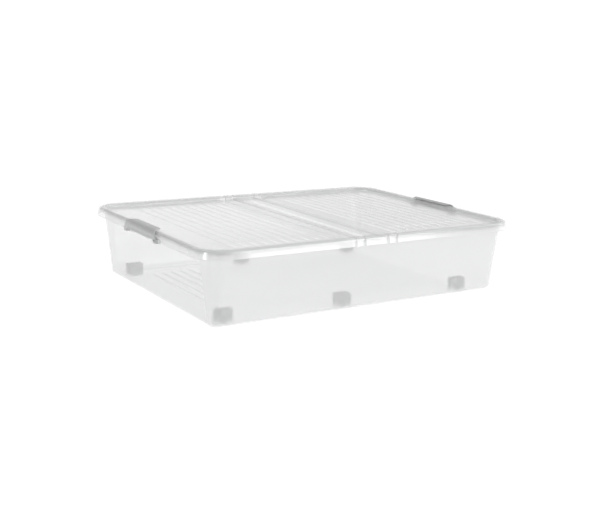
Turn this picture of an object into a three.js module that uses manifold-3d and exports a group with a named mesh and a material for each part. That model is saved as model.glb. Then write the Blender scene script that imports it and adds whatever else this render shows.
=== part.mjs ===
// Under bed storage box: a clear tub on six small wheels, a clear lid whose two halves fold up on
// double living hinges beside a fixed centre band, and a grey clip handle at each short end.
// Millimetres, +Z up. X runs along the long side, Y along the short side, and the floor is z = 0.
// The origin is on the floor under the middle of the box.

import * as THREE from 'three';
import { mergeVertices } from 'three/addons/utils/BufferGeometryUtils.js';
import Module from 'manifold-3d';

const wasm = await Module();
wasm.setup();

// ---- driving dimensions ----

const LENGTH = 800;            // lid, outside
const WIDTH = 600;
const RIM_TOP = 168;           // highest line of the lid
const TUB_UNDERSIDE = 4;       // ground clearance of the tub between its wheels
const WALL = 2.2;              // moulded thickness of tub and lid
const GAP = 0.3;               // play between parts that touch

const LID_CORNER = 60;         // plan radius of the lid's corners
const RIM_WIDTH = 21.4;        // raised border of the lid
const SKIRT_BOTTOM = 147.5;    // lower edge of the lid's outer skirt
const SKIRT_LEAN = 1.6;        // the skirt leans in by this much from its lower edge to the shoulder
const PLUG_BOTTOM = 152.6;     // lower edge of the wall that plugs into the tub's mouth
const PANEL_TOP = 160;         // recessed panel of the lid

const WALL_INSET = 15.5;       // tub wall stands this far inside the lid's edge, under the rim
const TAPER = 19.5;            // how far each wall leans in on its way down to the floor
const TUB_CORNER = LID_CORNER - WALL_INSET; // plan radius of the tub's corners at the rim
const TUB_BOTTOM_CORNER = 18;  // and at the floor
const FLOOR_EDGE = 13;         // radius between wall and floor
const BEAD_TOP = 165.5;        // rolled rim of the tub, under the lid's raised border
const BEAD_EDGE = 5;           // inset of the rolled rim's outer lip

const INNER_FOLD = { x: 30, z: 158.5 };   // living hinge between centre band and spine
const OUTER_FOLD = { x: 52.5, z: 155.5 }; // living hinge between spine and flap
const FOLD_GAP = 0.6;          // width of the folding web between two lid sections
const SLIT = 6.6;              // gap cut through the lid's border at each fold
const SLIT_MOUTH = 10;         // the same gap where it opens out at the top

const CLIP_WIDTH = 168;
const CLIP_PIVOT = { x: 394.5, z: 148 };
const CLIP_BOTTOM = 150;       // lower edge of the plate between the feet
const CLIP_PLATE = 2.5;
const CLIP_PLAY = 0.5;         // between the closed clip and the lid's border
const CLIP_HOOK = 20;          // how far the hook reaches over the lid's border
const CLIP_SHOULDER = 8;       // radius inside the bend between plate and hook
const CLIP_PLATE_LEAN = 13;    // each end of the plate leans in by this much up to its top edge
const CLIP_HOOK_LEAN = 12;     // and each end of the hook by this much more at its far edge
const CLIP_FOOT = 13;          // width of each foot along Y
const CLIP_FOOT_RADIUS = 4.5;
const PIN_RADIUS = 2.2;
const EAR_THICKNESS = 6;
const NOTCH_TOP = 154;         // top of the notch in the lid's skirt at each foot of a clip

const WHEEL_RADIUS = 13;
const WHEEL_WIDTH = 10;
const WHEEL_PLACES_X = [-320, -32, 290];
const WHEEL_PLACES_Y = [-225, 225];
const AXLE_RADIUS = 2;
const AXLE_LENGTH = 17;
const POCKET = { x: 34, y: 18, top: 31 };  // wheel pocket in the tub's floor, inside

// ---- materials ----

function plastic(colour, roughness, opacity = 1) {
  return new THREE.MeshStandardMaterial({
    color: colour, roughness, metalness: 0, transparent: opacity < 1, opacity,
  });
}

const clearPlastic = plastic(0xeef0f0, 0.25, 0.35);
const clipPlastic = plastic(0xbcbdbd, 0.45);
const wheelPlastic = plastic(0xe4e5e6, 0.5);
const carrierPlastic = plastic(0xeceeee, 0.3, 0.2);
const axleSteel = new THREE.MeshStandardMaterial({ color: 0xb9bcbe, roughness: 0.3, metalness: 1 });

// ---- solids ----

// Manifold solid of a closed three.js geometry.
function solid(geometry) {
  const bare = geometry.clone();
  bare.deleteAttribute('normal');
  bare.deleteAttribute('uv');
  const merged = mergeVertices(bare, 1e-4);
  const vertProperties = new Float32Array(merged.attributes.position.array);
  const triVerts = new Uint32Array(merged.index.array);
  return new wasm.Manifold(new wasm.Mesh({ numProp: 3, vertProperties, triVerts }));
}

// Mesh in its own named node, from a manifold solid.
function part(name, shape, material) {
  const result = shape.getMesh();
  const geometry = new THREE.BufferGeometry();
  geometry.setAttribute('position', new THREE.BufferAttribute(result.vertProperties, 3));
  geometry.setIndex(new THREE.BufferAttribute(result.triVerts, 1));
  geometry.computeVertexNormals();
  const mesh = new THREE.Mesh(geometry, material);
  mesh.name = name;
  return mesh;
}

function box(x0, x1, y0, y1, z0, z1) {
  const geometry = new THREE.BoxGeometry(x1 - x0, y1 - y0, z1 - z0);
  geometry.translate((x0 + x1) / 2, (y0 + y1) / 2, (z0 + z1) / 2);
  return solid(geometry);
}

// Cylinder along Y.
function rod(radius, x, z, y0, y1, sides = 24) {
  const geometry = new THREE.CylinderGeometry(radius, radius, y1 - y0, sides);
  geometry.translate(x, (y0 + y1) / 2, z);
  return solid(geometry);
}

// Outline given in X and Z, extruded along Y.
function slabAlongY(outline, y0, y1) {
  const shape = new THREE.Shape(outline.map(([x, z]) => new THREE.Vector2(x, z)));
  const geometry = new THREE.ExtrudeGeometry(shape, { depth: y1 - y0, bevelEnabled: false });
  geometry.rotateX(Math.PI / 2);
  geometry.translate(0, y1, 0);
  return solid(geometry);
}

// Outline given in X and Y, extruded along Z.
function slabAlongZ(outline, z0, z1) {
  const shape = new THREE.Shape(outline.map(([x, y]) => new THREE.Vector2(x, y)));
  const geometry = new THREE.ExtrudeGeometry(shape, { depth: z1 - z0, bevelEnabled: false });
  geometry.translate(0, 0, z0);
  return solid(geometry);
}

// Outline given in Y and Z, extruded along X.
function slabAlongX(outline, x0, x1) {
  const shape = new THREE.Shape(outline.map(([y, z]) => new THREE.Vector2(y, z)));
  const geometry = new THREE.ExtrudeGeometry(shape, { depth: x1 - x0, bevelEnabled: false });
  geometry.rotateX(Math.PI / 2);
  geometry.rotateZ(Math.PI / 2);
  geometry.translate(x0, 0, 0);
  return solid(geometry);
}

// One level of a rounded rectangle, as a list of points.
function roundedRing(halfX, halfY, radius, z, steps = 8) {
  const points = [];
  const corners = [[1, 1, 0], [-1, 1, 90], [-1, -1, 180], [1, -1, 270]];
  for (const [sx, sy, start] of corners) {
    for (let i = 0; i <= steps; i += 1) {
      const angle = THREE.MathUtils.degToRad(start + (90 * i) / steps);
      const x = sx * (halfX - radius) + radius * Math.cos(angle);
      const y = sy * (halfY - radius) + radius * Math.sin(angle);
      points.push(new THREE.Vector3(x, y, z));
    }
  }
  return points;
}

// Skin through a list of rings. Looped, the last ring joins the first; otherwise both ends are capped.
function loft(rings, looped) {
  const count = rings[0].length;
  const positions = rings.flat().flatMap((p) => [p.x, p.y, p.z]);
  const index = [];
  const bands = looped ? rings.length : rings.length - 1;
  for (let r = 0; r < bands; r += 1) {
    const a = r * count;
    const b = ((r + 1) % rings.length) * count;
    for (let i = 0; i < count; i += 1) {
      const j = (i + 1) % count;
      index.push(a + i, a + j, b + j, a + i, b + j, b + i);
    }
  }
  if (!looped) {
    const last = (rings.length - 1) * count;
    for (let i = 1; i < count - 1; i += 1) {
      index.push(0, i + 1, i);
      index.push(last, last + i, last + i + 1);
    }
  }
  const geometry = new THREE.BufferGeometry();
  geometry.setAttribute('position', new THREE.Float32BufferAttribute(positions, 3));
  geometry.setIndex(index);
  return solid(geometry);
}

// ---- tub ----

const BEAD_FOOT = 160;                                   // where the wall meets the rolled rim
const WALL_HEIGHT = BEAD_FOOT - TUB_UNDERSIDE;

// Level of the tub's wall, from its inset below the rim and its height.
function tubRing(inset, z) {
  const down = THREE.MathUtils.clamp((BEAD_FOOT - z) / WALL_HEIGHT, 0, 1);
  const lean = TAPER * down;
  const radius = THREE.MathUtils.lerp(TUB_CORNER, TUB_BOTTOM_CORNER, down) + WALL_INSET - inset;
  return roundedRing(LENGTH / 2 - inset - lean, WIDTH / 2 - inset - lean, radius, z);
}

// Quarter round between the floor and a wall, from the floor up.
function floorEdge(inset, floorZ, radius) {
  const rings = [];
  const steps = 4;
  for (let i = 0; i <= steps; i += 1) {
    const angle = (Math.PI / 2) * (i / steps);
    rings.push(tubRing(inset + radius * (1 - Math.sin(angle)), floorZ + radius * (1 - Math.cos(angle))));
  }
  return rings;
}

function rolledRim() {
  const inner = WALL_INSET + WALL;
  return [
    [WALL_INSET, BEAD_FOOT],
    [13.5, 163],
    [9.5, 163],
    [BEAD_EDGE + WALL, 160.4],
    [BEAD_EDGE + WALL, 156],
    [BEAD_EDGE, 156],
    [BEAD_EDGE, 161],
    [6.3, 164],
    [9, BEAD_TOP],
    [14, BEAD_TOP],
    [16.8, 164],
    [inner, 161],
  ].map(([inset, z]) => tubRing(inset, z));
}

// Plate under the rolled rim that carries one pin of a clip.
function clipEar(side, y) {
  const y0 = y - EAR_THICKNESS / 2;
  const y1 = y + EAR_THICKNESS / 2;
  const web = [
    [381, 139],
    [CLIP_PIVOT.x, CLIP_PIVOT.z - CLIP_FOOT_RADIUS],
    [LENGTH / 2 - BEAD_EDGE - 0.5, 158],
    [383, 160],
  ];
  const outline = side > 0 ? web : web.map(([x, z]) => [-x, z]).reverse();
  return slabAlongY(outline, y0, y1)
    .add(rod(CLIP_FOOT_RADIUS, side * CLIP_PIVOT.x, CLIP_PIVOT.z, y0, y1));
}

function tubShell() {
  const innerInset = WALL_INSET + WALL;
  const floorTop = TUB_UNDERSIDE + WALL;
  const outside = floorEdge(WALL_INSET, TUB_UNDERSIDE, FLOOR_EDGE);
  const inside = floorEdge(innerInset, floorTop, FLOOR_EDGE - WALL).reverse();
  let tub = loft([...outside, ...rolledRim(), ...inside], false);
  for (const side of [-1, 1]) {
    for (const end of [-1, 1]) {
      tub = tub.add(clipEar(side, end * earCentreY()));
    }
    tub = tub.subtract(rod(PIN_RADIUS + 0.4, side * CLIP_PIVOT.x, CLIP_PIVOT.z, -CLIP_WIDTH, CLIP_WIDTH));
  }
  for (const x of WHEEL_PLACES_X) {
    for (const y of WHEEL_PLACES_Y) {
      const hx = POCKET.x / 2;
      const hy = POCKET.y / 2;
      const cover = box(x - hx - WALL, x + hx + WALL, y - hy - WALL, y + hy + WALL,
        floorTop - 1, POCKET.top + WALL);
      const well = box(x - hx, x + hx, y - hy, y + hy, TUB_UNDERSIDE - 1, POCKET.top);
      tub = tub.add(cover).subtract(well);
    }
  }
  return tub;
}

// ---- lid ----

function lidRing([inset, z]) {
  return roundedRing(LENGTH / 2 - inset, WIDTH / 2 - inset, LID_CORNER - inset, z);
}

// Raised border of the lid: skirt, rounded top and the wall that plugs into the tub.
function lidBorder() {
  const plug = RIM_WIDTH - WALL + 0.1;
  const section = [
    [0, SKIRT_BOTTOM],
    [SKIRT_LEAN, 160.5],
    [3.4, 165.2],
    [7.5, RIM_TOP],
    [14.6, RIM_TOP],
    [19.5, 165.6],
    [RIM_WIDTH, 161],
    [RIM_WIDTH, PLUG_BOTTOM],
    [plug, PLUG_BOTTOM],
    [plug, 160.8],
    [18.1, 164.2],
    [14.2, 165.9],
    [8.3, 165.9],
    [5, 163.6],
    [SKIRT_LEAN + WALL, 160],
    [WALL, SKIRT_BOTTOM],
  ];
  return loft(section.map(lidRing), true);
}

// Top line of the recessed panel from the middle of the lid outwards: the centre band with its lip,
// the spine that slopes down to the outer fold, and the flap that rises to its own lip.
function panelLine() {
  return [
    [0, PANEL_TOP],
    [22, PANEL_TOP],
    [25, 161.5],
    [27.5, 161.5],
    [INNER_FOLD.x, INNER_FOLD.z],
    [33, 159.6],
    [OUTER_FOLD.x, OUTER_FOLD.z],
    [73, 161.4],
    [77, 161.4],
    [81, PANEL_TOP],
    [LENGTH / 2, PANEL_TOP],
  ];
}

function lidPanel() {
  const right = panelLine();
  const left = right.slice(1).map(([x, z]) => [-x, z]).reverse();
  const top = [...left, ...right];
  const under = top.map(([x, z]) => [x, z - WALL]).reverse();
  const sheet = slabAlongY([...under, ...top].reverse(), -WIDTH / 2, WIDTH / 2);
  const inset = RIM_WIDTH - WALL / 2;
  const outline = loft([
    roundedRing(LENGTH / 2 - inset, WIDTH / 2 - inset, LID_CORNER - inset, 140),
    roundedRing(LENGTH / 2 - inset, WIDTH / 2 - inset, LID_CORNER - inset, 180),
  ], false);
  return sheet.intersect(outline);
}

// Everything that one fold takes out of the lid: the thin web line and a slit through each border.
function foldCut(x) {
  let cut = box(x - FOLD_GAP / 2, x + FOLD_GAP / 2, -WIDTH, WIDTH, 140, 180);
  const flareStart = 164.5;
  const slit = [
    [x - SLIT / 2, 140],
    [x + SLIT / 2, 140],
    [x + SLIT / 2, flareStart],
    [x + SLIT_MOUTH / 2, RIM_TOP + 0.5],
    [x - SLIT_MOUTH / 2, RIM_TOP + 0.5],
    [x - SLIT / 2, flareStart],
  ];
  const inner = WIDTH / 2 - RIM_WIDTH - 0.3;
  for (const side of [-1, 1]) {
    const from = side > 0 ? inner : -WIDTH;
    cut = cut.add(slabAlongY(slit, from, from + WIDTH - inner));
  }
  return cut;
}

// Openings in the skirt at both ends, each round one foot of a clip and the ear beside it.
function skirtNotches() {
  const y0 = earCentreY() - EAR_THICKNESS / 2 - 3;
  const y1 = CLIP_WIDTH / 2 + 2.5;
  const depth = SKIRT_LEAN + WALL + 0.7;
  const cuts = [];
  for (const side of [-1, 1]) {
    for (const end of [-1, 1]) {
      const x = [side * (LENGTH / 2 - depth), side * (LENGTH / 2 + 1)].sort((a, b) => a - b);
      const y = [end * y0, end * y1].sort((a, b) => a - b);
      cuts.push(box(...x, ...y, SKIRT_BOTTOM - 1, NOTCH_TOP));
    }
  }
  return wasm.Manifold.union(cuts);
}

function lidSections() {
  let lid = lidBorder().add(lidPanel()).subtract(skirtNotches());
  for (const side of [-1, 1]) {
    lid = lid.subtract(foldCut(side * INNER_FOLD.x)).subtract(foldCut(side * OUTER_FOLD.x));
  }
  const between = (x0, x1) => lid.intersect(box(Math.min(x0, x1), Math.max(x0, x1), -WIDTH, WIDTH, 100, 200));
  const sections = { lid_centre_band: between(-INNER_FOLD.x, INNER_FOLD.x) };
  for (const [label, side] of [['left', -1], ['right', 1]]) {
    sections[`lid_spine_${label}`] = between(side * INNER_FOLD.x, side * OUTER_FOLD.x);
    sections[`lid_flap_${label}`] = between(side * OUTER_FOLD.x, side * LENGTH);
  }
  return sections;
}

// ---- clip handles ----

function earCentreY() {
  return CLIP_WIDTH / 2 - CLIP_FOOT - GAP - EAR_THICKNESS / 2 - 1;
}

// Quarter circle from +X up to +Z, in a clip's cross-section.
function shoulderArc(centre, radius) {
  const points = [];
  const steps = 4;
  for (let i = 0; i <= steps; i += 1) {
    const angle = (Math.PI / 2) * (i / steps);
    points.push([centre.x + radius * Math.cos(angle), centre.z + radius * Math.sin(angle)]);
  }
  return points;
}

// Plate in front of the lid's skirt, rounded shoulder and hook over the border, with ends that lean in.
function clipBody() {
  const half = CLIP_WIDTH / 2;
  const face = LENGTH / 2 + CLIP_PLAY;
  const outer = face + CLIP_PLATE;
  const hookUnder = RIM_TOP + CLIP_PLAY;
  const hookTop = hookUnder + CLIP_PLATE;
  const hookEnd = LENGTH / 2 - CLIP_HOOK;
  const centre = { x: face - CLIP_SHOULDER, z: hookUnder - CLIP_SHOULDER };
  const section = [
    [face, CLIP_BOTTOM],
    [outer, CLIP_BOTTOM],
    ...shoulderArc(centre, CLIP_SHOULDER + CLIP_PLATE),
    [hookEnd, hookTop],
    [hookEnd, hookUnder],
    ...shoulderArc(centre, CLIP_SHOULDER).reverse(),
  ];
  let body = slabAlongY(section, -half, half);
  const top = half - CLIP_PLATE_LEAN;
  const tip = top - CLIP_HOOK_LEAN;
  for (const side of [-1, 1]) {
    const plateEnd = [[side * half, CLIP_BOTTOM], [side * (half + 9), CLIP_BOTTOM],
      [side * (half + 9), hookTop], [side * top, hookTop]];
    const hookCorner = [[face, side * top], [face, side * (half + 9)],
      [hookEnd - 1, side * (half + 9)], [hookEnd - 1, side * tip]];
    body = body.subtract(slabAlongX(plateEnd, hookEnd - 1, outer + 1));
    body = body.subtract(slabAlongZ(hookCorner, hookUnder - 1, hookTop + 1));
  }
  return body;
}

// Clip at the +X end: the body on two feet, whose pins turn in the tub's ears.
function clipRight() {
  const outer = LENGTH / 2 + CLIP_PLAY + CLIP_PLATE;
  const footBottom = CLIP_PIVOT.z - CLIP_FOOT_RADIUS;
  let clip = clipBody();
  for (const side of [-1, 1]) {
    const y0 = side > 0 ? CLIP_WIDTH / 2 - CLIP_FOOT - 1 : -CLIP_WIDTH / 2 + 1;
    const y1 = y0 + CLIP_FOOT;
    const arm = box(CLIP_PIVOT.x, outer, y0, y1, footBottom, CLIP_PIVOT.z + CLIP_FOOT_RADIUS);
    const heel = box(outer - CLIP_PLATE, outer, y0, y1, footBottom, CLIP_BOTTOM + 1);
    const eye = rod(CLIP_FOOT_RADIUS, CLIP_PIVOT.x, CLIP_PIVOT.z, y0, y1);
    const [pin0, pin1] = side > 0 ? [y0 - EAR_THICKNESS, y0 + 1] : [y1 - 1, y1 + EAR_THICKNESS];
    clip = clip.add(arm).add(heel).add(eye).add(rod(PIN_RADIUS, CLIP_PIVOT.x, CLIP_PIVOT.z, pin0, pin1));
  }
  return clip;
}

// ---- wheels ----

function wheel() {
  const half = WHEEL_WIDTH / 2;
  const bore = AXLE_RADIUS + 0.3;
  const profile = [
    [bore, -half],
    [4.6, -half],
    [5.2, -half + 1.6],
    [9.4, -half + 1.6],
    [10, -half],
    [12.2, -half],
    [WHEEL_RADIUS, -half + 0.9],
    [WHEEL_RADIUS, half - 0.9],
    [12.2, half],
    [10, half],
    [9.4, half - 1.6],
    [5.2, half - 1.6],
    [4.6, half],
    [bore, half],
    [bore, -half],
  ].map(([r, y]) => new THREE.Vector2(r, y));
  return solid(new THREE.LatheGeometry(profile, 24));
}

// Snap-in housing round a wheel: two cheeks with the axle holes, a bridge and a bezel under the floor.
function wheelCarrier() {
  const hx = POCKET.x / 2 - GAP;
  const hy = POCKET.y / 2 - GAP;
  const cheek = 2;
  const bezel = 3;
  const top = POCKET.top - GAP - WHEEL_RADIUS;
  const bezelTop = TUB_UNDERSIDE - GAP - WHEEL_RADIUS;
  const bezelBottom = bezelTop - 1.5;
  let carrier = box(-hx, hx, -hy, hy, bezelBottom, top)
    .add(box(-hx - bezel, hx + bezel, -hy - bezel, hy + bezel, bezelBottom, bezelTop));
  const slotHalf = hy - cheek;
  carrier = carrier.subtract(box(-hx + cheek, hx - cheek, -slotHalf, slotHalf, bezelBottom - 1, top - 2));
  const sideWindow = box(-hx - 1, hx + 1, -slotHalf, slotHalf, bezelTop + 3, top - 4);
  return carrier.subtract(sideWindow).subtract(rod(AXLE_RADIUS + 0.15, 0, 0, -hy - 1, hy + 1, 16));
}

// ---- assembly ----

const group = new THREE.Group();

group.add(part('tub_shell', tubShell(), clearPlastic));

for (const [name, shape] of Object.entries(lidSections())) {
  group.add(part(name, shape, clearPlastic));
}

const clipShape = clipRight();
group.add(part('clip_right', clipShape, clipPlastic));
group.add(part('clip_left', clipShape.rotate([0, 0, 180]), clipPlastic));

const wheelShape = wheel();
const carrierShape = wheelCarrier();
const axleShape = rod(AXLE_RADIUS, 0, 0, -AXLE_LENGTH / 2, AXLE_LENGTH / 2, 16);
const rows = ['left', 'middle', 'right'];
const sides = ['front', 'back'];
WHEEL_PLACES_X.forEach((x, column) => {
  WHEEL_PLACES_Y.forEach((y, row) => {
    const place = `${sides[row]}_${rows[column]}`;
    const pieces = [
      part(`wheel_${place}`, wheelShape, wheelPlastic),
      part(`wheel_axle_${place}`, axleShape, axleSteel),
      part(`wheel_carrier_${place}`, carrierShape, carrierPlastic),
    ];
    for (const piece of pieces) {
      piece.position.set(x, y, WHEEL_RADIUS);
      group.add(piece);
    }
  });
});

export default group;
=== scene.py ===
"""Clear under bed box on six wheels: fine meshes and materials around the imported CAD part.

Sizes are in millimetres, in the CAD part's own frame, and become metres where a mesh is made.
"""
import math

import bmesh
import bpy
from mathutils import Matrix, Vector


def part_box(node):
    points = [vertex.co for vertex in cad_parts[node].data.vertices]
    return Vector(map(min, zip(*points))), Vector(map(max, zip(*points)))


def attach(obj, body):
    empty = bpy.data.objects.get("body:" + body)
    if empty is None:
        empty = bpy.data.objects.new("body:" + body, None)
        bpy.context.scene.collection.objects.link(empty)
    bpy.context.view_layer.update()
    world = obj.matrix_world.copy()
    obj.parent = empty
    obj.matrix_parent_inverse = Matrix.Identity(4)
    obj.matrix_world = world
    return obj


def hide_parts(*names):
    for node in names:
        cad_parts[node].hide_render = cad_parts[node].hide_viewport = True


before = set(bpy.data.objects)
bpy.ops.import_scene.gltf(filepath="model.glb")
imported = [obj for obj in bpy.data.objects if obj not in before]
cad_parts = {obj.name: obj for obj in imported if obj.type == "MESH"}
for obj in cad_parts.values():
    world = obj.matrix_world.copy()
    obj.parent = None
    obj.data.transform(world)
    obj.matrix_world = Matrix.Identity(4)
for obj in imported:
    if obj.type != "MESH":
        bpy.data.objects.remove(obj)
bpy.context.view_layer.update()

MM = 0.001


def node_box(node):
    """Lowest and highest corner of a CAD node, in millimetres."""
    low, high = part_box(node)
    return low / MM, high / MM


# ---- sizes read from the frame ----

FLAP_LOW, FLAP_HIGH = node_box("lid_flap_right")
SPINE_LOW, _ = node_box("lid_spine_right")
TUB_LOW, _ = node_box("tub_shell")
CLIP_LOW, CLIP_HIGH = node_box("clip_right")

HALF_FOLD_GAP = 0.3
HALF_LENGTH = FLAP_HIGH.x
HALF_WIDTH = FLAP_HIGH.y
RIM_TOP = FLAP_HIGH.z
SKIRT_BOTTOM = SPINE_LOW.z
OUTER_FOLD_X = FLAP_LOW.x - HALF_FOLD_GAP
INNER_FOLD_X = SPINE_LOW.x - HALF_FOLD_GAP
TUB_UNDERSIDE = TUB_LOW.z
CLIP_HALF = CLIP_HIGH.y

# ---- sizes of the moulded detail ----

WALL = 2.2
LID_CORNER = 60
RIM_WIDTH = 21.4
RIM_RADIUS = 8
SKIRT_LEAN = 1.6           # the skirt leans in by this much from its lower edge to the shoulder
PANEL_TOP = 160
PANEL_EDGE = 25.4          # inset where the lid's flat panel starts
PLUG_BOTTOM = 152.6
SLIT = 6.6
SLIT_FLARE = 1.5           # how much wider each side of a slit is at the top of the border
FLARE_START = 164.5
LIP_RISE = 1.5             # lips beside the folds stand this far above the panel
INNER_FOLD_DROP = 1.5      # the inner fold lies this far below the panel
OUTER_FOLD_DROP = 4.5

RIB_PITCH = 24
RIB_HALF = 3
RIB_SHARES = (-1, -0.55, 0, 0.55, 1)   # columns of points across a rib
LID_RIB_HEIGHT = 1.3
LID_RIB_FIRST = 94
LID_RIB_COUNT = 10
LID_RIB_END = 247          # ribs of the lid run this far either side of the middle
FLOOR_RIB_HEIGHT = 4
FLOOR_RIB_COUNT = 25
FLOOR_RIB_END = 192
FLOOR_FIELD_RISE = 0.7

FLOOR_FIELD_HALF = RIB_PITCH * (FLOOR_RIB_COUNT - 1) / 2 + 10

WALL_INSET = 15.5
TAPER = 19.5
TUB_CORNER = LID_CORNER - WALL_INSET
TUB_BOTTOM_CORNER = 18
FLOOR_EDGE = 13
BEAD_FOOT = 160
BEAD_EDGE = 5              # inset of the rolled rim's outer lip

CORNER_STEPS = 14

POCKET_X = 34
POCKET_Y = 18
POCKET_TOP = 31
WHEEL_RADIUS = 13
WHEEL_WIDTH = 10
WHEEL_SPOKES = 6
SPOKE_HALF = 0.7
SPOKE_FROM = 4
SPOKE_TO = 9.8
WHEEL_SECTION = (          # radius, and depth from the wheel's face, from the hub out to the tread
    (4.3, 0), (4.6, 0.3), (4.7, 3), (9.2, 3), (9.4, 0.4), (9.8, 0), (11.9, 0), (12.6, 0.4),
    (WHEEL_RADIUS, 1.4))
AXLE_RADIUS = 2
AXLE_HALF = 8.5
AXLE_CHAMFER = 0.4
CARRIER_CHEEK = 2
CARRIER_BRIDGE = 2         # thickness over the wheel
CARRIER_SILL = 3           # the side windows start this far above the bezel
CARRIER_HEAD = 4           # and end this far below the housing's top
BEZEL = 3
BEZEL_THICKNESS = 1.5
PLAY = 0.3

CLIP_PIVOT_X = 394.5
CLIP_PIVOT_Z = 148
CLIP_FOOT_RADIUS = 4.5
CLIP_FOOT = 13
EYE_CHAMFER = 0.6
PIN_RADIUS = 2.2
PIN_TIP_RADIUS = 1.8
PIN_CHAMFER = 0.4
PIN_HOLE_RADIUS = 2.6
EAR_THICKNESS = 6
EAR_FOOT = (381, 139)
EAR_TOP = ((CLIP_PIVOT_X, 156.8), (383.5, 158))
NOTCH_TOP = 154
NOTCH_DEPTH = 4.5

CLIP_PLATE = 2.5
CLIP_PLAY = 0.5
CLIP_SHOULDER = 8          # radius inside the bend between plate and hook
CLIP_TAPER = 13            # each end of the plate leans in by this much up to its top edge
HOOK_TAPER = 12            # and each end of the hook by this much more at its far edge
CLIP_BOTTOM = 150


# ---- mesh helpers ----

def make_object(name, verts, faces):
    """Object from vertices in millimetres, with its faces pointing out."""
    mesh = bpy.data.meshes.new(name)
    mesh.from_pydata([Vector(v) * MM for v in verts], [], faces)
    work = bmesh.new()
    work.from_mesh(mesh)
    bmesh.ops.remove_doubles(work, verts=work.verts, dist=0.002 * MM)
    bmesh.ops.dissolve_degenerate(work, edges=work.edges, dist=0.001 * MM)
    bmesh.ops.recalc_face_normals(work, faces=work.faces)
    work.to_mesh(mesh)
    work.free()
    obj = bpy.data.objects.new(name, mesh)
    bpy.context.scene.collection.objects.link(obj)
    return obj


def smooth(obj, angle=32):
    """Smooth shading, with edges sharper than the angle kept crisp."""
    obj.data.shade_smooth()
    work = bmesh.new()
    work.from_mesh(obj.data)
    limit = math.radians(angle)
    for edge in work.edges:
        if len(edge.link_faces) == 2 and edge.calc_face_angle(0) > limit:
            edge.smooth = False
    work.to_mesh(obj.data)
    work.free()


def apply_modifiers(obj):
    """Replaces the mesh by its evaluated one and clears the modifiers."""
    bpy.context.view_layer.update()
    evaluated = obj.evaluated_get(bpy.context.evaluated_depsgraph_get())
    mesh = bpy.data.meshes.new_from_object(evaluated)
    obj.modifiers.clear()
    obj.data = mesh
    return obj


def combine(obj, other, operation):
    """Boolean of two closed objects. The second one is used up."""
    modifier = obj.modifiers.new("combine", "BOOLEAN")
    modifier.object = other
    modifier.operation = operation
    modifier.solver = "EXACT"
    apply_modifiers(obj)
    bpy.data.objects.remove(other)


def bevel(obj, width, segments=3, angle=30):
    """Rounds the edges sharper than the angle. The width is in millimetres."""
    modifier = obj.modifiers.new("bevel", "BEVEL")
    modifier.width = width * MM
    modifier.segments = segments
    modifier.limit_method = "ANGLE"
    modifier.angle_limit = math.radians(angle)
    modifier.harden_normals = False
    return apply_modifiers(obj)


def box_object(name, low, high):
    """Plain block between two corners, in millimetres."""
    verts = [(x, y, z) for x in (low[0], high[0]) for y in (low[1], high[1]) for z in (low[2], high[2])]
    faces = [(0, 1, 3, 2), (4, 6, 7, 5), (0, 4, 5, 1), (2, 3, 7, 6), (0, 2, 6, 4), (1, 5, 7, 3)]
    return make_object(name, verts, faces)


def prism(name, outline, y0, y1):
    """Outline of X and Z points, extruded along Y."""
    count = len(outline)
    verts = [(x, y0, z) for x, z in outline] + [(x, y1, z) for x, z in outline]
    faces = [tuple(range(count)), tuple(range(2 * count - 1, count - 1, -1))]
    for i in range(count):
        j = (i + 1) % count
        faces.append((i, j, count + j, count + i))
    return make_object(name, verts, faces)


def lathe(name, profile, centre, steps=48):
    """Profile of (radius, y) points turned about an axis along Y.

    The profile is a closed ring, or it starts and ends at radius 0.
    """
    verts = []
    for s in range(steps):
        angle = 2 * math.pi * s / steps
        for radius, y in profile:
            verts.append((centre[0] + radius * math.cos(angle), centre[1] + y,
                          centre[2] + radius * math.sin(angle)))
    count = len(profile)
    faces = []
    for s in range(steps):
        a = s * count
        b = ((s + 1) % steps) * count
        for i in range(count):
            j = (i + 1) % count
            if profile[i][0] > 0 or profile[j][0] > 0:
                faces.append((a + i, a + j, b + j, b + i))
    return make_object(name, verts, faces)


def arc(centre, radius, start, end, steps):
    """Points of an arc, angles in degrees."""
    points = []
    for i in range(steps + 1):
        angle = math.radians(start + (end - start) * i / steps)
        points.append((centre[0] + radius * math.cos(angle), centre[1] + radius * math.sin(angle)))
    return points


# ---- rib and panel shapes ----

def rib_columns(centre):
    """Columns of points across one rib."""
    return [centre + share * RIB_HALF for share in RIB_SHARES]


def rib_height(offset, height):
    """Rounded rib section, by the distance from its middle."""
    share = min(1, abs(offset) / RIB_HALF)
    return height * math.sqrt(1 - share ** 2)


def window(y, end, fade=4):
    """1 inside the end, falling to 0 just past it."""
    return max(0.0, min(1.0, (end - abs(y)) / fade))


def piecewise(points, x):
    """Height of a polyline at x."""
    for (x0, z0), (x1, z1) in zip(points, points[1:]):
        if x <= x1:
            return z0 + (z1 - z0) * (x - x0) / (x1 - x0)
    return points[-1][1]


# ---- lid ----

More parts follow.
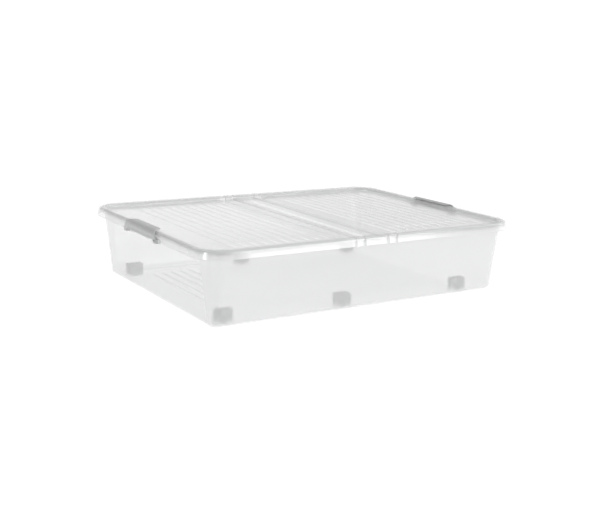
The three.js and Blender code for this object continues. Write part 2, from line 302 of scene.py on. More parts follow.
TROUGH_COLUMNS = (62, 68)
PANEL_LINE = [              # section across the folds as (x, z)
    (0, PANEL_TOP),
    (22, PANEL_TOP),
    (23.2, PANEL_TOP + 0.35 * LIP_RISE),
    (24.6, PANEL_TOP + LIP_RISE),
    (27, PANEL_TOP + LIP_RISE),
    (28.4, PANEL_TOP + 0.35 * LIP_RISE),
    (INNER_FOLD_X, PANEL_TOP - INNER_FOLD_DROP),
    (INNER_FOLD_X + 1.4, PANEL_TOP - 0.4),
    (INNER_FOLD_X + 3, PANEL_TOP - 0.1),
    (INNER_FOLD_X + 5, PANEL_TOP - 0.6),
    (OUTER_FOLD_X - 1, PANEL_TOP - OUTER_FOLD_DROP + 0.1),
    (OUTER_FOLD_X, PANEL_TOP - OUTER_FOLD_DROP),
    (OUTER_FOLD_X + 1, PANEL_TOP - OUTER_FOLD_DROP + 0.1),
    (71.5, PANEL_TOP + 0.8 * LIP_RISE),
    (73.5, PANEL_TOP + LIP_RISE),
    (77, PANEL_TOP + LIP_RISE),
    (79, PANEL_TOP + 0.35 * LIP_RISE),
    (81, PANEL_TOP),
    (HALF_LENGTH, PANEL_TOP),
]


def skirt_inset(z):
    """Inset of the skirt's outer face, which leans in towards the shoulder."""
    return SKIRT_LEAN * (z - SKIRT_BOTTOM) / (RIM_TOP - RIM_RADIUS - SKIRT_BOTTOM)


def border_rows():
    """Section of the lid's border as (inset, z, share of the panel's height change), panel to panel."""
    panel_side = (RIM_WIDTH - RIM_RADIUS, RIM_TOP - RIM_RADIUS)
    skirt_side = (SKIRT_LEAN + RIM_RADIUS, RIM_TOP - RIM_RADIUS)
    under = RIM_RADIUS - WALL
    low = SKIRT_BOTTOM
    rows = [(RIM_WIDTH + 2.2, PANEL_TOP, 1), (RIM_WIDTH + 1.1, PANEL_TOP + 0.2, 1),
            (RIM_WIDTH + 0.4, PANEL_TOP + 0.7, 0.8)]
    rows += [(n, z, 0) for n, z in arc(panel_side, RIM_RADIUS, 12, 90, 8)]
    rows += [(n, z, 0) for n, z in arc(skirt_side, RIM_RADIUS, 90, 180, 8)]
    rows += [(skirt_inset(155), 155, 0), (0.1, low + 0.7, 0), (0.4, low + 0.15, 0), (1.15, low, 0),
             (1.95, low + 0.15, 0), (WALL + 0.1, low + 0.7, 0), (skirt_inset(155) + WALL, 155, 0)]
    rows += [(n, z, 0) for n, z in arc(skirt_side, under, 180, 90, 6)]
    rows += [(n, z, 0) for n, z in arc(panel_side, under, 90, 0, 6)]
    plug = RIM_WIDTH - WALL
    rows += [(plug, PLUG_BOTTOM + 0.6, 0), (plug + 0.5, PLUG_BOTTOM, 0), (RIM_WIDTH - 0.5, PLUG_BOTTOM, 0),
             (RIM_WIDTH, PLUG_BOTTOM + 0.3, 0)]
    rows += [(RIM_WIDTH + 0.2, PANEL_TOP - WALL - 0.6, 1), (RIM_WIDTH + 0.9, PANEL_TOP - WALL, 1)]
    return rows


def panel_base(x):
    """Top of the lid's panel without its ribs. The lid is the same on both sides of the middle."""
    return piecewise(PANEL_LINE, abs(x))


def panel_height(x, y):
    """Top of the lid's panel, with the ribs of the flaps."""
    z = panel_base(x)
    for i in range(LID_RIB_COUNT):
        centre = LID_RIB_FIRST + i * RIB_PITCH
        z += rib_height(x - centre, LID_RIB_HEIGHT) * window(y, LID_RIB_END)
    return z


class Section:
    """One section of the lid as a closed mesh: a panel grid with the border swept along its edge."""

    def __init__(self, columns, reach, shares):
        self.columns = columns
        self.reach = reach
        self.shares = shares
        self.verts = []
        self.faces = []
        self.top = self.grid(0)
        self.under = self.grid(-WALL)
        last_column = len(columns) - 1
        last_row = len(shares) - 1
        for i in range(last_column):
            for j in range(last_row):
                for table in (self.top, self.under):
                    self.faces.append((table[i, j], table[i + 1, j], table[i + 1, j + 1], table[i, j + 1]))
        self.loop = [(i, 0) for i in range(last_column)]
        self.loop += [(last_column, j) for j in range(last_row)]
        self.loop += [(i, last_row) for i in range(last_column, 0, -1)]
        self.loop += [(0, j) for j in range(last_row, 0, -1)]
        self.covered = set()

    def grid(self, lift):
        table = {}
        for i, x in enumerate(self.columns):
            for j, share in enumerate(self.shares):
                y = share * self.reach(x)
                z = panel_height(x, y) if lift == 0 else panel_base(x)
                table[i, j] = len(self.verts)
                self.verts.append((x, y, z + lift))
        return table

    def sweep(self, stations):
        """Border along part of the panel's edge. A station is (place on the loop, point at an inset)."""
        rows = border_rows()
        strips = []
        last = len(stations) - 1
        for number, (place, at_inset) in enumerate(stations):
            x_edge, y_edge, _ = self.verts[self.top[place]]
            drop = panel_base(x_edge) - PANEL_TOP
            strip = [self.top[place]]
            for inset, z, share in rows:
                x, y = at_inset(inset)
                if number in (0, last):
                    flare = SLIT_FLARE * max(0, z - FLARE_START) / (RIM_TOP - FLARE_START)
                    x += flare if self.outward(stations, number) else -flare
                strip.append(len(self.verts))
                self.verts.append((x, y, z + share * drop))
            strip.append(self.under[place])
            strips.append(strip)
        for a, b in zip(strips, strips[1:]):
            for k in range(len(a) - 1):
                self.faces.append((a[k], b[k], b[k + 1], a[k + 1]))
        self.faces.append(tuple(strips[0]))
        self.faces.append(tuple(reversed(strips[-1])))
        for (p, _), (q, _) in zip(stations, stations[1:]):
            self.covered.add(frozenset((p, q)))

    def outward(self, stations, number):
        """Whether the border's end at this station lies on the side of smaller X."""
        here = stations[number][1](0)[0]
        other = stations[1 if number == 0 else number - 1][1](0)[0]
        return other > here

    def close(self):
        """Side faces where no border covers the edge of the panel."""
        count = len(self.loop)
        for k in range(count):
            p, q = self.loop[k], self.loop[(k + 1) % count]
            if frozenset((p, q)) not in self.covered:
                self.faces.append((self.top[p], self.top[q], self.under[q], self.under[p]))


def straight_station(x, side):
    """Place on a long side of the lid."""
    return lambda inset: (x, side * (HALF_WIDTH - inset))


def corner_station(angle, side):
    """Place on a rounded corner at +X."""
    radians = math.radians(angle)

    def at_inset(inset):
        radius = LID_CORNER - inset
        return (HALF_LENGTH - LID_CORNER + radius * math.sin(radians),
                side * (HALF_WIDTH - LID_CORNER + radius * math.cos(radians)))
    return at_inset


def end_station(y):
    """Place on the short end at +X."""
    return lambda inset: (HALF_LENGTH - inset, y)


def row_shares():
    """Rows of points across the panel, as shares of its half width."""
    reach = HALF_WIDTH - PANEL_EDGE
    ys = [reach, 262, LID_RIB_END + 0.5, LID_RIB_END - 1, LID_RIB_END - 4, 190, 130, 65]
    positive = [y / reach for y in ys]
    return [-v for v in positive] + [0] + positive[::-1]


def flap_mesh():
    """Right flap: trough, lip and ribbed panel, with the border round three sides."""
    fold = OUTER_FOLD_X + HALF_FOLD_GAP
    slit = OUTER_FOLD_X + SLIT / 2
    corner_x = HALF_LENGTH - LID_CORNER
    corner_y = HALF_WIDTH - LID_CORNER
    radius = LID_CORNER - PANEL_EDGE
    columns = [fold, OUTER_FOLD_X + 1, slit, *TROUGH_COLUMNS]
    columns += [x for x, _ in PANEL_LINE if slit < x < HALF_LENGTH]
    for i in range(LID_RIB_COUNT):
        columns += rib_columns(LID_RIB_FIRST + i * RIB_PITCH)
    columns += [corner_x]
    straight_count = len(columns)
    angles = [90 * k / CORNER_STEPS for k in range(1, CORNER_STEPS + 1)]
    columns += [corner_x + radius * math.sin(math.radians(a)) for a in angles]

    def reach(x):
        if x <= corner_x:
            return corner_y + radius
        return corner_y + math.sqrt(max(0, radius ** 2 - (x - corner_x) ** 2))

    shares = row_shares()
    section = Section(columns, reach, shares)
    first = columns.index(slit)
    last_column = len(columns) - 1
    last_row = len(shares) - 1

    def side_run(row, side):
        run = [((i, row), straight_station(columns[i], side)) for i in range(first, straight_count)]
        run += [((straight_count + k, row), corner_station(a, side)) for k, a in enumerate(angles)]
        return run

    front = side_run(0, -1)
    back = side_run(last_row, 1)
    end = [((last_column, j), end_station(shares[j] * corner_y)) for j in range(1, last_row)]
    section.sweep(front + end + back[::-1])
    section.close()
    return section


def strip_mesh(x0, x1, slit0, slit1, extra):
    """Section of the lid with straight sides: the centre band or a spine."""
    columns = sorted({x0, x1, slit0, slit1, *extra})
    shares = row_shares()
    section = Section(columns, lambda x: HALF_WIDTH - PANEL_EDGE, shares)
    inside = [i for i, x in enumerate(columns) if slit0 <= x <= slit1]
    last_row = len(shares) - 1
    section.sweep([((i, 0), straight_station(columns[i], -1)) for i in inside])
    section.sweep([((i, last_row), straight_station(columns[i], 1)) for i in inside])
    section.close()
    return section


def mirrored(verts, flip):
    return [(-x, y, z) for x, y, z in verts] if flip else verts


# ---- tub ----

def tub_point(ux, uy, dx, dy, inset, z):
    """Point of the tub at an inset from the lid's edge. u places the corner circle, d points outwards."""
    down = max(0.0, min(1.0, (BEAD_FOOT - z) / (BEAD_FOOT - TUB_UNDERSIDE)))
    lean = TAPER * down
    corner = TUB_CORNER + (TUB_BOTTOM_CORNER - TUB_CORNER) * down
    centre_x = HALF_LENGTH - WALL_INSET - lean - corner
    centre_y = HALF_WIDTH - WALL_INSET - lean - corner
    radius = corner + WALL_INSET - inset
    return (ux * centre_x + dx * radius, uy * centre_y + dy * radius, z)


def tub_rows():
    """Section of the tub as (inset, z), from the underside's edge over the rim to the floor's edge."""
    rows = []
    floor = TUB_UNDERSIDE
    for n, z in arc((0, 0), FLOOR_EDGE, -90, 0, 8):
        rows.append((WALL_INSET + FLOOR_EDGE - n, floor + FLOOR_EDGE + z))
    rows += [(WALL_INSET, z) for z in (50, 90, 130, 152)]
    lip = BEAD_EDGE
    inner = WALL_INSET + WALL
    rows += arc((WALL_INSET - 2.6, BEAD_FOOT + 0.3), 2.6, 0, 90, 4)
    rows += arc((lip + 5, BEAD_FOOT + 0.5), 5 - WALL, 90, 180, 4)
    rows += [(lip + WALL, 156.7), (lip + 1.9, 156.1), (lip + 1.1, 155.9), (lip + 0.3, 156.1), (lip, 156.7)]
    rows += arc((lip + 5, BEAD_FOOT + 0.5), 5, 180, 90, 7)
    rows += arc((inner - 4.8, BEAD_FOOT + 0.6), 4.8, 90, 0, 7)
    rows += [(inner, z) for z in (152, 130, 90, 50)]
    radius = FLOOR_EDGE - WALL
    for n, z in arc((0, 0), radius, 0, -90, 8):
        rows.append((inner + radius - n, floor + WALL + radius + z))
    return rows


def floor_height(x, y):
    """Top of the tub's floor: a slightly raised field with ribs across it."""
    z = TUB_UNDERSIDE + WALL
    inside = window(y, FLOOR_RIB_END + 4) * window(x, FLOOR_FIELD_HALF + 3, 3)
    z += FLOOR_FIELD_RISE * inside
    for i in range(FLOOR_RIB_COUNT):
        centre = (i - (FLOOR_RIB_COUNT - 1) / 2) * RIB_PITCH
        z += rib_height(x - centre, FLOOR_RIB_HEIGHT) * window(y, FLOOR_RIB_END)
    return z


def tub_mesh():
    """Whole tub as one skin: underside, outside, rolled rim, inside and ribbed floor."""
    rows = tub_rows()
    centre_x = tub_point(1, 0, 0, 0, 0, TUB_UNDERSIDE)[0]
    centre_y = tub_point(0, 1, 0, 0, 0, TUB_UNDERSIDE)[1]
    edge_radius = TUB_BOTTOM_CORNER - FLOOR_EDGE
    xs = []
    for i in range(FLOOR_RIB_COUNT):
        xs += rib_columns((i - (FLOOR_RIB_COUNT - 1) / 2) * RIB_PITCH)
    field_edge = [FLOOR_FIELD_HALF, FLOOR_FIELD_HALF + 3, centre_x]
    xs = [-x for x in field_edge[::-1]] + xs + field_edge
    straight = len(xs)
    angles = [90 * k / CORNER_STEPS for k in range(1, CORNER_STEPS + 1)]
    bulge = [centre_x + edge_radius * math.sin(math.radians(a)) for a in angles]
    columns = [-x for x in bulge[::-1]] + xs + bulge

    def reach(x):
        past = max(0, abs(x) - centre_x)
        return centre_y + math.sqrt(max(0, edge_radius ** 2 - past ** 2))

    end = centre_y + edge_radius
    ys = [end, 240, 215, FLOOR_RIB_END + 4, FLOOR_RIB_END, FLOOR_RIB_END - 4, 120, 60]
    shares = [-y / end for y in ys] + [0] + [y / end for y in ys[::-1]]
    verts = []
    faces = []
    tables = []
    for top in (False, True):
        table = {}
        for i, x in enumerate(columns):
            for j, share in enumerate(shares):
                y = share * reach(x)
                table[i, j] = len(verts)
                verts.append((x, y, floor_height(x, y) if top else TUB_UNDERSIDE))
        tables.append(table)
        for i in range(len(columns) - 1):
            for j in range(len(shares) - 1):
                faces.append((table[i, j], table[i + 1, j], table[i + 1, j + 1], table[i, j + 1]))

    last_column = len(columns) - 1
    last_row = len(shares) - 1
    loop = []
    for side, row, order in ((-1, 0, 1), (1, last_row, -1)):
        for i in range(last_column + 1)[::order]:
            x = columns[i]
            past = max(0, abs(x) - centre_x)
            sign = 1 if x > 0 else -1
            if past > 0:
                sine = min(1, past / edge_radius)
                station = (sign, side, sign * sine, side * math.sqrt(1 - sine ** 2))
            else:
                station = (x / centre_x, side, 0, side)
            loop.append(((i, row), station))
        inner = range(1, last_row) if side < 0 else range(last_row - 1, 0, -1)
        edge = last_column if side < 0 else 0
        sign = 1 if side < 0 else -1
        for j in inner:
            loop.append(((edge, j), (sign, shares[j], sign, 0)))

    strips = []
    for place, station in loop:
        strip = [tables[0][place]]
        for inset, z in rows[1:-1]:
            strip.append(len(verts))
            verts.append(tub_point(*station, inset, z))
        strip.append(tables[1][place])
        strips.append(strip)
    count = len(strips)
    for s in range(count):
        a, b = strips[s], strips[(s + 1) % count]
        for k in range(len(a) - 1):
            faces.append((a[k], b[k], b[k + 1], a[k + 1]))
    return verts, faces


def wheel_places():
    """Name ending and axle position of each wheel."""
    places = []
    for row in ("front", "back"):
        for column in ("left", "middle", "right"):
            low, high = node_box(f"wheel_{row}_{column}")
            places.append((f"{row}_{column}", (low + high) / 2))
    return places


def rounded_block(name, low, high, radius, segments=3):
    return bevel(box_object(name, low, high), radius, segments)


def add_pockets(tub):
    """Raised cover over each wheel, hollow from below."""
    floor = TUB_UNDERSIDE
    for _, centre in wheel_places():
        hx = POCKET_X / 2
        hy = POCKET_Y / 2
        cover = rounded_block("cover", (centre.x - hx - WALL, centre.y - hy - WALL, floor + 0.8),
                              (centre.x + hx + WALL, centre.y + hy + WALL, POCKET_TOP + WALL), 2.4, 4)
        combine(tub, cover, "UNION")
        well = rounded_block("well", (centre.x - hx, centre.y - hy, floor - 6),
                             (centre.x + hx, centre.y + hy, POCKET_TOP), 0.8, 2)
        combine(tub, well, "DIFFERENCE")


def ear_centre():
    return CLIP_HALF - CLIP_FOOT - PLAY - EAR_THICKNESS / 2 - 1


def add_ears(tub):
    """Moulded plates under the rim that hold the clips' pins."""
    for side in (-1, 1):
        for end in (-1, 1):
            y0 = end * ear_centre() - EAR_THICKNESS / 2
            y1 = y0 + EAR_THICKNESS
            outline = [EAR_FOOT, (CLIP_PIVOT_X, CLIP_PIVOT_Z - CLIP_FOOT_RADIUS)]
            outline += arc((CLIP_PIVOT_X, CLIP_PIVOT_Z), CLIP_FOOT_RADIUS, -60, 50, 6)
            outline += EAR_TOP
            ear = prism("ear", [(side * x, z) for x, z in outline], y0, y1)
            combine(tub, ear, "UNION")
        hole = lathe("hole", [(0, -CLIP_HALF), (PIN_HOLE_RADIUS, -CLIP_HALF),
                              (PIN_HOLE_RADIUS, CLIP_HALF), (0, CLIP_HALF)],
                     (side * CLIP_PIVOT_X, 0, CLIP_PIVOT_Z), 24)
        combine(tub, hole, "DIFFERENCE")


def notch_skirt(flap, side):
    """Openings in a flap's skirt round the clip's feet and the ears."""
    near = ear_centre() - EAR_THICKNESS / 2 - 3
    far = CLIP_HALF + 2.5
    for end in (-1, 1):
        x0, x1 = sorted((side * (HALF_LENGTH - NOTCH_DEPTH), side * (HALF_LENGTH + 3)))
        y0, y1 = sorted((end * near, end * far))
        notch = rounded_block("notch", (x0, y0, SKIRT_BOTTOM - 6), (x1, y1, NOTCH_TOP), 1.2, 3)
        combine(flap, notch, "DIFFERENCE")


# ---- clip handles ----

def clip_body():
    """Plate, rounded shoulder and hook of the +X clip. Its ends lean in towards the hook's far edge."""
    face = HALF_LENGTH + CLIP_PLAY
    top = CLIP_HIGH.z
    far = CLIP_LOW.x
    centre = (face - CLIP_SHOULDER, top - CLIP_PLATE - CLIP_SHOULDER)
    outside = [(face + CLIP_PLATE, CLIP_BOTTOM), (face + CLIP_PLATE, CLIP_BOTTOM + 5)]
    outside += arc(centre, CLIP_SHOULDER + CLIP_PLATE, 0, 90, 10) + [(far, top)]
    inside = [(face, CLIP_BOTTOM), (face, CLIP_BOTTOM + 5)]
    inside += arc(centre, CLIP_SHOULDER, 0, 90, 10) + [(far, top - CLIP_PLATE)]

    def half_at(x, z):
        lean = CLIP_TAPER * (z - CLIP_BOTTOM) / (top - CLIP_BOTTOM)
        reach = max(0, (face - x) / (face - far))
        return CLIP_HALF - lean - HOOK_TAPER * reach

    section = outside + inside[::-1]
    verts = [(x, -half_at(x, z), z) for x, z in section] + [(x, half_at(x, z), z) for x, z in section]
    count = len(section)
    faces = []
    for i in range(count):
        j = (i + 1) % count
        faces.append((i, j, count + j, count + i))
    for base in (0, count):
        for k in range(len(outside) - 1):
            faces.append(tuple(base + i for i in (k, k + 1, count - 2 - k, count - 1 - k)))
    return bevel(make_object("clip_body", verts, faces), 0.9, 3)


def clip_mesh(name):
    """Clip at the +X end: body, thumb ridge, two feet with round eyes and the pins that face each other."""
    clip = clip_body()
    clip.name = name
    face = HALF_LENGTH + CLIP_PLAY
    outer = face + CLIP_PLATE
    recess = rounded_block("recess", (outer - 0.4, -CLIP_HALF + 24, CLIP_BOTTOM + 2.5),
                           (outer + 3, CLIP_HALF - 24, CLIP_BOTTOM + 10), 1.4, 4)
    combine(clip, recess, "DIFFERENCE")
    for end in (-1, 1):
        low = CLIP_HALF - CLIP_FOOT - 1
        y0, y1 = sorted((end * low, end * (low + CLIP_FOOT)))
        arm = rounded_block("arm", (CLIP_PIVOT_X, y0, CLIP_PIVOT_Z - CLIP_FOOT_RADIUS),
                            (outer - 0.1, y1, CLIP_PIVOT_Z + CLIP_FOOT_RADIUS), 0.8)
        combine(clip, arm, "UNION")
        heel = rounded_block("heel", (face + 0.1, y0, CLIP_PIVOT_Z),
                             (outer - 0.1, y1, CLIP_BOTTOM + 1.5), 0.7)
        combine(clip, heel, "UNION")
        boss = end * (low + CLIP_FOOT + 0.9)
        eye_low, eye_high = sorted((y0 if end > 0 else boss, boss if end > 0 else y1))
        middle = (CLIP_PIVOT_X, (eye_low + eye_high) / 2, CLIP_PIVOT_Z)
        half = (eye_high - eye_low) / 2
        eye_face = CLIP_FOOT_RADIUS - EYE_CHAMFER
        eye = lathe("eye", [(0, -half), (eye_face, -half), (CLIP_FOOT_RADIUS, -half + EYE_CHAMFER),
                            (CLIP_FOOT_RADIUS, half - EYE_CHAMFER), (eye_face, half), (0, half)],
                    middle, 32)
        combine(clip, eye, "UNION")
        pin_from = end * (low + 1)
        pin_to = end * (low - EAR_THICKNESS)
        pin_half = abs(pin_from - pin_to) / 2
        pin = lathe("pin", [(0, -pin_half), (PIN_TIP_RADIUS, -pin_half),
                            (PIN_RADIUS, -pin_half + PIN_CHAMFER),
                            (PIN_RADIUS, pin_half - PIN_CHAMFER), (PIN_TIP_RADIUS, pin_half), (0, pin_half)],
                    (CLIP_PIVOT_X, (pin_from + pin_to) / 2, CLIP_PIVOT_Z), 24)
        combine(clip, pin, "UNION")
    return clip


# ---- wheels ----

def wheel_mesh(name, centre):
    """Moulded wheel: hub, thin web with six spokes, and a rim with a rounded tread."""
    half = WHEEL_WIDTH / 2
    bore = AXLE_RADIUS + PLAY
    side = [(bore, -half)] + [(radius, -half + depth) for radius, depth in WHEEL_SECTION]
    profile = side + [(r, -y) for r, y in side[::-1]]
    wheel = lathe(name, profile, centre, 56)
    for k in range(WHEEL_SPOKES):
        spoke = rounded_block("spoke", (SPOKE_FROM, -SPOKE_HALF, -half + 0.5),
                              (SPOKE_TO, SPOKE_HALF, half - 0.5), 0.3, 2)
        spoke.data.transform(Matrix.Rotation(math.radians(90), 4, "X"))
        spoke.data.transform(Matrix.Rotation(math.radians(360 / WHEEL_SPOKES * k), 4, "Y"))
        spoke.data.transform(Matrix.Translation(Vector(centre) * MM))
        combine(wheel, spoke, "UNION")
    return wheel


def axle_mesh(name, centre):
    """Steel pin with chamfered ends."""
    half = AXLE_HALF
    end = AXLE_RADIUS - AXLE_CHAMFER
    profile = [(0, -half), (end, -half), (AXLE_RADIUS, -half + AXLE_CHAMFER),
               (AXLE_RADIUS, half - AXLE_CHAMFER), (end, half), (0, half)]
    return lathe(name, profile, centre, 32)


def carrier_mesh(name, centre):
    """Snap-in housing: two cheeks, a bridge over the wheel and a bezel under the floor."""
    hx = POCKET_X / 2 - PLAY
    hy = POCKET_Y / 2 - PLAY
    top = POCKET_TOP - PLAY
    bezel_top = TUB_UNDERSIDE - PLAY
    bezel_bottom = bezel_top - BEZEL_THICKNESS
    carrier = rounded_block(name, (-hx, -hy, bezel_bottom + 0.2), (hx, hy, top), 1.2, 3)
    bezel = rounded_block("bezel", (-hx - BEZEL, -hy - BEZEL, bezel_bottom),
                          (hx + BEZEL, hy + BEZEL, bezel_top), 0.5, 3)
    combine(carrier, bezel, "UNION")
    slot_half = hy - CARRIER_CHEEK
    slot = rounded_block("slot", (-hx + CARRIER_CHEEK, -slot_half, bezel_bottom - 4),
                         (hx - CARRIER_CHEEK, slot_half, top - CARRIER_BRIDGE), 0.6, 2)
    combine(carrier, slot, "DIFFERENCE")
    opening = rounded_block("window", (-hx - 3, -slot_half, bezel_top + CARRIER_SILL),
                            (hx + 3, slot_half, top - CARRIER_HEAD), 0.6, 2)
    combine(carrier, opening, "DIFFERENCE")
    hole = lathe("hole", [(0, -20), (AXLE_RADIUS + 0.15, -20), (AXLE_RADIUS + 0.15, 20), (0, 20)],
                 (0, 0, WHEEL_RADIUS), 24)
    combine(carrier, hole, "DIFFERENCE")
    carrier.data.transform(Matrix.Translation(Vector((centre.x, centre.y, 0)) * MM))
    return carrier


# ---- materials ----

def new_material(name):
    material = bpy.data.materials.new(name)
    material.use_nodes = True
    nodes = material.node_tree.nodes
    return material, nodes, material.node_tree.links, nodes["Principled BSDF"]


def noise(nodes, links, scale, detail=3.0, roughness=0.5):
    coordinates = nodes.new("ShaderNodeTexCoord")
    texture = nodes.new("ShaderNodeTexNoise")
    texture.inputs["Scale"].default_value = scale
    texture.inputs["Detail"].default_value = detail
    texture.inputs["Roughness"].default_value = roughness
    links.new(coordinates.outputs["Object"], texture.inputs["Vector"])
    return texture.outputs["Fac"]


def ranged(nodes, links, value, low, high):
    """Maps a 0 to 1 value onto a range."""
    node = nodes.new("ShaderNodeMapRange")
    node.inputs["To Min"].default_value = low
    node.inputs["To Max"].default_value = high
    links.new(value, node.inputs["Value"])
    return node.outputs["Result"]


def bump(nodes, links, height, strength, distance):
    node = nodes.new("ShaderNodeBump")
    node.inputs["Strength"].default_value = strength
    node.inputs["Distance"].default_value = distance
    links.new(height, node.inputs["Height"])
    return node.outputs["Normal"]


def clear_plastic(name, colour, cover, rough_low, rough_high):
    """Milky clear polypropylene, with the faint ripple and sheen of a moulded face."""
    material, nodes, links, shader = new_material(name)
    shader.inputs["Base Color"].default_value = (*colour, 1)
    shader.inputs["Alpha"].default_value = cover
    shader.inputs["IOR"].default_value = 1.49
    links.new(ranged(nodes, links, noise(nodes, links, 30), rough_low, rough_high),
              shader.inputs["Roughness"])
    links.new(bump(nodes, links, noise(nodes, links, 18, 2), 0.05, 0.001), shader.inputs["Normal"])
    return material


def grey_plastic(name, colour, roughness, grain):
    """Opaque moulded plastic with a fine grain and slight shade variation."""
    material, nodes, links, shader = new_material(name)
    mix = nodes.new("ShaderNodeMix")
    mix.data_type = "RGBA"
    mix.inputs["A"].default_value = (*[c * 0.94 for c in colour], 1)
    mix.inputs["B"].default_value = (*[min(1, c * 1.06) for c in colour], 1)
    links.new(noise(nodes, links, 60), mix.inputs["Factor"])
    links.new(mix.outputs["Result"], shader.inputs["Base Color"])
    links.new(ranged(nodes, links, noise(nodes, links, 400), roughness - 0.06, roughness + 0.06),
              shader.inputs["Roughness"])
    links.new(bump(nodes, links, noise(nodes, links, grain), 0.12, 0.0002), shader.inputs["Normal"])
    return material


def drawn_steel(name):
    material, nodes, links, shader = new_material(name)
    shader.inputs["Base Color"].default_value = (0.62, 0.63, 0.64, 1)
    shader.inputs["Metallic"].default_value = 1
    links.new(ranged(nodes, links, noise(nodes, links, 900), 0.22, 0.4), shader.inputs["Roughness"])
    return material


clear = clear_plastic("clear_shell", (0.9, 0.905, 0.905), 0.3, 0.1, 0.2)
clip_grey = grey_plastic("clip_plastic", (0.55, 0.555, 0.555), 0.45, 1500)
wheel_grey = grey_plastic("wheel_plastic", (0.78, 0.79, 0.8), 0.5, 1200)
frosted = clear_plastic("carrier_plastic", (0.93, 0.935, 0.935), 0.08, 0.3, 0.4)
steel = drawn_steel("axle_steel")


# ---- assembly ----

def finish_piece(obj, material, body, slot, *nodes):
    obj.data.materials.clear()
    obj.data.materials.append(material)
    smooth(obj)
    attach(obj, body)
    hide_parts(*nodes)


def build_tub():
    verts, faces = tub_mesh()
    tub = make_object("tub", verts, faces)
    add_pockets(tub)
    add_ears(tub)
    finish_piece(tub, clear, "tub", "clear_shell", "tub_shell")


def build_lid():
    near = INNER_FOLD_X - HALF_FOLD_GAP
    slit = INNER_FOLD_X - SLIT / 2
    inner_band = [x for x, _ in PANEL_LINE if 0 < x < near]
    band = strip_mesh(-near, near, -slit, slit, [-x for x in inner_band] + [0] + inner_band)
    obj = make_object("lid_band", band.verts, band.faces)
    finish_piece(obj, clear, "lid_centre", "clear_shell", "lid_centre_band")
    low = INNER_FOLD_X + HALF_FOLD_GAP
    high = OUTER_FOLD_X - HALF_FOLD_GAP
    inside = [x for x, _ in PANEL_LINE if low < x < high]
    spine = strip_mesh(low, high, INNER_FOLD_X + SLIT / 2, OUTER_FOLD_X - SLIT / 2, inside)
    flap = flap_mesh()
    for label, flip in (("left", True), ("right", False)):
        obj = make_object(f"spine_{label}_strip", mirrored(spine.verts, flip), spine.faces)
        finish_piece(obj, clear, f"spine_{label}", "clear_shell", f"lid_spine_{label}")
        obj = make_object(f"flap_{label}_panel", mirrored(flap.verts, flip), flap.faces)
        notch_skirt(obj, -1 if flip else 1)
        finish_piece(obj, clear, f"flap_{label}", "clear_shell", f"lid_flap_{label}")


def build_clips():
    right = clip_mesh("clip_handle_right")
    left = right.copy()
    left.data = right.data.copy()
    left.name = "clip_handle_left"
    bpy.context.scene.collection.objects.link(left)
    left.data.transform(Matrix.Rotation(math.pi, 4, "Z"))
    finish_piece(right, clip_grey, "clip_right", "clip_plastic", "clip_right")
    finish_piece(left, clip_grey, "clip_left", "clip_plastic", "clip_left")


def build_wheels():
    for place, centre in wheel_places():
        wheel = wheel_mesh(f"roller_{place}", centre)
        finish_piece(wheel, wheel_grey, f"wheel_{place}", "wheel_plastic", f"wheel_{place}")
        axle = axle_mesh(f"pin_{place}", centre)
        finish_piece(axle, steel, "tub", "axle_steel", f"wheel_axle_{place}")
        carrier = carrier_mesh(f"housing_{place}", centre)
        finish_piece(carrier, frosted, "tub", "carrier_plastic", f"wheel_carrier_{place}")


# ---- camera, light and floor ----

FLOOR_REACH = 9000
BACKDROP_HEIGHT = 2000
FLOOR_GREY = 0.3
FLOOR_GLOW = 0.8            # the floor gives off light, so that it stays white under the box
WORLD_STRENGTH = 0.56
KEY_TOWARDS = (0.8, -0.25, 0.65)
KEY_STRENGTH = 1.2
KEY_ANGLE = 40
SOFTBOXES = (              # name, place, target, size and power; they act in reflections only
    ("front_softbox", (1.15, -2.15, 0.55), (1.15, 0, 0.55), (1.05, 0.85), 55),
    ("left_strip", (-2.29, -0.7, 0.5), (-0.38, -0.28, 0.16), (0.4, 0.9), 30),
)

CAMERA_AZIMUTH = -32.48
CAMERA_ELEVATION = 12.51
CAMERA_ROLL = 1.565
CAMERA_DISTANCE = 2.332
CAMERA_TARGET = Vector((0, 0, 0.076))
CAMERA_OFFSET = (0.0067, -0.0132)   # along the picture's right and up
LENS = 59.21


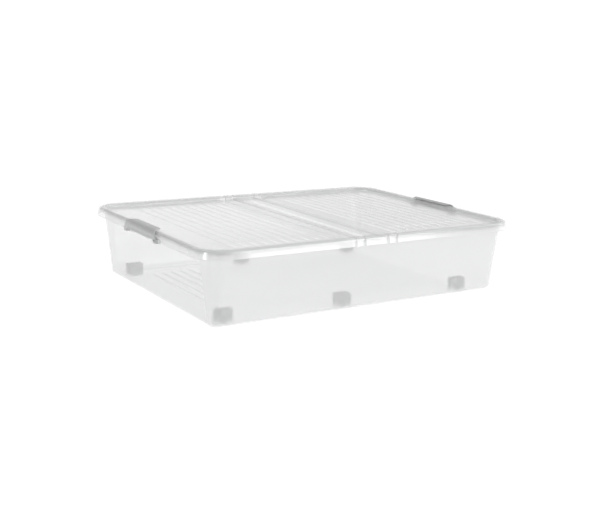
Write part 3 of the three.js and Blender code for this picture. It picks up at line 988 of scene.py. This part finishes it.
def place_camera():
    azimuth = math.radians(CAMERA_AZIMUTH)
    elevation = math.radians(CAMERA_ELEVATION)
    roll = math.radians(CAMERA_ROLL)
    back = Vector((math.sin(azimuth) * math.cos(elevation), -math.cos(azimuth) * math.cos(elevation),
                   math.sin(elevation)))
    level = Vector((math.cos(azimuth), math.sin(azimuth), 0))
    upright = back.cross(level)
    right = math.cos(roll) * level + math.sin(roll) * upright
    up = -math.sin(roll) * level + math.cos(roll) * upright
    location = CAMERA_TARGET + back * CAMERA_DISTANCE + right * CAMERA_OFFSET[0] + up * CAMERA_OFFSET[1]
    data = bpy.data.cameras.new("camera")
    data.lens = LENS
    data.sensor_width = 36
    data.clip_end = 50
    camera = bpy.data.objects.new("camera", data)
    bpy.context.scene.collection.objects.link(camera)
    camera.matrix_world = Matrix.Translation(location) @ Matrix((right, up, back)).transposed().to_4x4()
    bpy.context.scene.camera = camera


def area_light(name, location, target, size, power):
    data = bpy.data.lights.new(name, "AREA")
    data.shape = "RECTANGLE"
    data.size, data.size_y = size
    data.energy = power
    light = bpy.data.objects.new(name, data)
    bpy.context.scene.collection.objects.link(light)
    light.location = location
    direction = Vector(target) - Vector(location)
    light.rotation_euler = direction.to_track_quat("-Z", "Y").to_euler()
    return light


def key_light(towards, strength):
    """Wide, soft light from one side."""
    data = bpy.data.lights.new("key", "SUN")
    data.energy = strength
    data.angle = math.radians(KEY_ANGLE)
    light = bpy.data.objects.new("key", data)
    bpy.context.scene.collection.objects.link(light)
    light.rotation_euler = Vector(towards).to_track_quat("Z", "Y").to_euler()


def set_world(strength):
    world = bpy.data.worlds.new("studio")
    world.use_nodes = True
    background = world.node_tree.nodes["Background"]
    background.inputs["Color"].default_value = (1, 1, 1, 1)
    background.inputs["Strength"].default_value = strength
    bpy.context.scene.world = world


def build_stage():
    """Self-lit floor with a wall at the back and one at the right, and the lights."""
    far = FLOOR_REACH
    high = BACKDROP_HEIGHT
    verts = [(-far, -far, 0), (far, -far, 0), (far, far, 0), (-far, far, 0), (far, far, high),
             (-far, far, high), (far, -far, high)]
    floor = make_object("floor", verts, [(0, 1, 2, 3), (3, 2, 4, 5), (2, 1, 6, 4)])
    material, _, _, shader = new_material("floor_white")
    shader.inputs["Base Color"].default_value = (FLOOR_GREY, FLOOR_GREY, FLOOR_GREY, 1)
    shader.inputs["Roughness"].default_value = 0.8
    shader.inputs["Emission Color"].default_value = (1, 1, 1, 1)
    shader.inputs["Emission Strength"].default_value = FLOOR_GLOW
    floor.data.materials.append(material)
    set_world(WORLD_STRENGTH)
    key_light(KEY_TOWARDS, KEY_STRENGTH)
    for sizes in SOFTBOXES:
        softbox = area_light(*sizes)
        softbox.visible_diffuse = False
        softbox.visible_camera = False
    bpy.context.scene.view_settings.view_transform = "Standard"


place_camera()
build_stage()
build_tub()
build_lid()
build_clips()
build_wheels()
